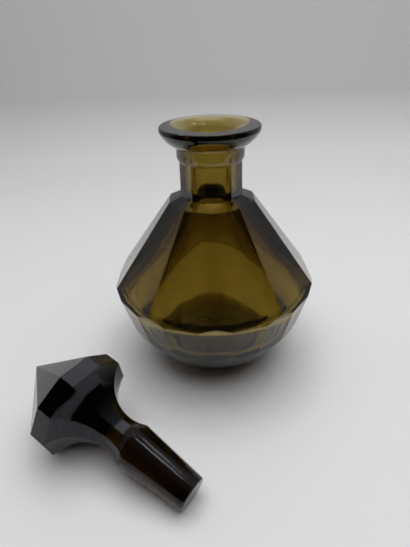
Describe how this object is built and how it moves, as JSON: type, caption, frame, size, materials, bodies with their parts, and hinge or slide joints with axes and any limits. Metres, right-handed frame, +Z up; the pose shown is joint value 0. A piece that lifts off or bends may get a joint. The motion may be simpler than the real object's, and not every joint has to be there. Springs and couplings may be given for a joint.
{
  "type": "liqueur decanter",
  "caption": "Cut-glass decanter with a faceted smoky glass body, flared pouring lip and a separate solid glass stopper lying beside it.",
  "frame": {"origin": "middle of the flat underside of the bottle's foot, on the table", "axes": "+Z up along the bottle's axis, -Y towards the viewer, +X to the viewer's right"},
  "size_m": [0.1315, 0.1539, 0.1226],
  "materials": {
    "smoky_glass": "polished, cut facets",
    "stopper_glass": "polished, cut facets, ground peg"
  },
  "bodies": {
    "bottle": {"bottle": "smoky_glass"},
    "stopper": {"stopper": "stopper_glass"}
  },
  "joints": [
    {"name": "stopper_lift", "type": "slide", "parent": "bottle", "child": "stopper", "axis": [0, 0, 1], "range_m": [0, 0.13]}
  ]
}
